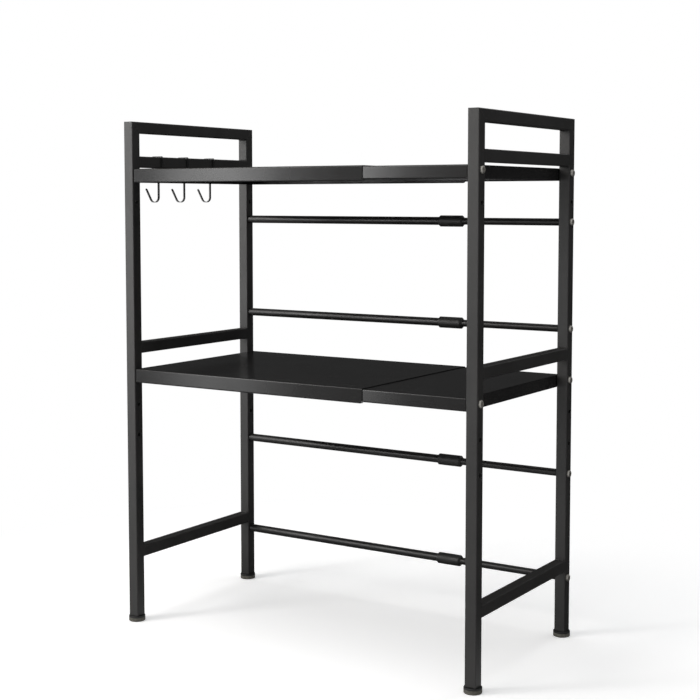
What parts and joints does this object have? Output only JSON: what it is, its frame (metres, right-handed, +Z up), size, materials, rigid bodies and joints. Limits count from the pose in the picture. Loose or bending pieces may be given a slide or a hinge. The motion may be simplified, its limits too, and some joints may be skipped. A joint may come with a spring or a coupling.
{
  "type": "extendable microwave rack",
  "caption": "Free-standing black steel kitchen rack for a microwave, with telescoping shelves and back rails, side guard rails, levelling feet and sliding S-hooks.",
  "frame": {"origin": "on the floor, under the middle of the whole object's box, hooks and feet included", "axes": "+Z up; +X from the left side frame to the right one, along which the rack widens; -Y is the front"},
  "size_m": [0.697, 0.347, 0.86],
  "materials": {
    "black_powder_coat": "fine satin powder coat",
    "zinc_steel": "bright zinc plate",
    "black_plastic": "matt moulded",
    "grey_rubber": "matt moulded"
  },
  "bodies": {
    "left_half": {"back_rail_1_outer_tube": "black_powder_coat", "back_rail_2_outer_tube": "black_powder_coat", "back_rail_3_outer_tube": "black_powder_coat", "back_rail_4_outer_tube": "black_powder_coat", "back_rail_collars": "black_plastic", "left_bottom_rail": "black_powder_coat", "left_front_post": "black_powder_coat", "left_middle_guard_rail": "black_powder_coat", "left_post_plugs": "black_plastic", "left_rail_bolts": "zinc_steel", "left_rail_inserts": "zinc_steel", "left_rear_post": "black_powder_coat", "left_shelf_bolts": "zinc_steel", "left_shelf_nuts": "zinc_steel", "left_top_rail": "black_powder_coat", "left_upper_guard_rail": "black_powder_coat", "middle_shelf_outer_tray": "black_powder_coat", "top_shelf_outer_tray": "black_powder_coat"},
    "right_half": {"back_rail_1_inner_tube": "black_powder_coat", "back_rail_2_inner_tube": "black_powder_coat", "back_rail_3_inner_tube": "black_powder_coat", "back_rail_4_inner_tube": "black_powder_coat", "middle_shelf_inner_tray": "black_powder_coat", "right_bottom_rail": "black_powder_coat", "right_front_post": "black_powder_coat", "right_middle_guard_rail": "black_powder_coat", "right_post_plugs": "black_plastic", "right_rail_bolts": "zinc_steel", "right_rail_inserts": "zinc_steel", "right_rear_post": "black_powder_coat", "right_shelf_bolts": "zinc_steel", "right_shelf_nuts": "zinc_steel", "right_top_rail": "black_powder_coat", "right_upper_guard_rail": "black_powder_coat", "top_shelf_inner_tray": "black_powder_coat"},
    "hook_1": {"hook_1": "black_powder_coat"},
    "hook_2": {"hook_2": "black_powder_coat"},
    "hook_3": {"hook_3": "black_powder_coat"},
    "left_front_foot": {"left_front_foot_base": "black_plastic", "left_front_foot_pad": "grey_rubber", "left_front_foot_stud": "zinc_steel"},
    "left_rear_foot": {"left_rear_foot_base": "black_plastic", "left_rear_foot_pad": "grey_rubber", "left_rear_foot_stud": "zinc_steel"},
    "right_front_foot": {"right_front_foot_base": "black_plastic", "right_front_foot_pad": "grey_rubber", "right_front_foot_stud": "zinc_steel"},
    "right_rear_foot": {"right_rear_foot_base": "black_plastic", "right_rear_foot_pad": "grey_rubber", "right_rear_foot_stud": "zinc_steel"}
  },
  "joints": [
    {"name": "width_slide", "type": "slide", "parent": "left_half", "child": "right_half", "axis": [1, 0, 0], "range_m": [-0.1795, 0.02]},
    {"name": "left_front_foot_screw", "type": "slide", "parent": "left_half", "child": "left_front_foot", "axis": [0, 0, -1], "range_m": [0, 0.012]},
    {"name": "left_rear_foot_screw", "type": "slide", "parent": "left_half", "child": "left_rear_foot", "axis": [0, 0, -1], "range_m": [0, 0.012]},
    {"name": "right_front_foot_screw", "type": "slide", "parent": "right_half", "child": "right_front_foot", "axis": [0, 0, -1], "range_m": [0, 0.012]},
    {"name": "right_rear_foot_screw", "type": "slide", "parent": "right_half", "child": "right_rear_foot", "axis": [0, 0, -1], "range_m": [0, 0.012]},
    {"name": "hook_1_slide", "type": "slide", "parent": "left_half", "child": "hook_1", "axis": [0, 1, 0], "range_m": [-0.025, 0.025]},
    {"name": "hook_2_slide", "type": "slide", "parent": "left_half", "child": "hook_2", "axis": [0, 1, 0], "range_m": [-0.025, 0.025]},
    {"name": "hook_3_slide", "type": "slide", "parent": "left_half", "child": "hook_3", "axis": [0, 1, 0], "range_m": [-0.025, 0.025]}
  ]
}
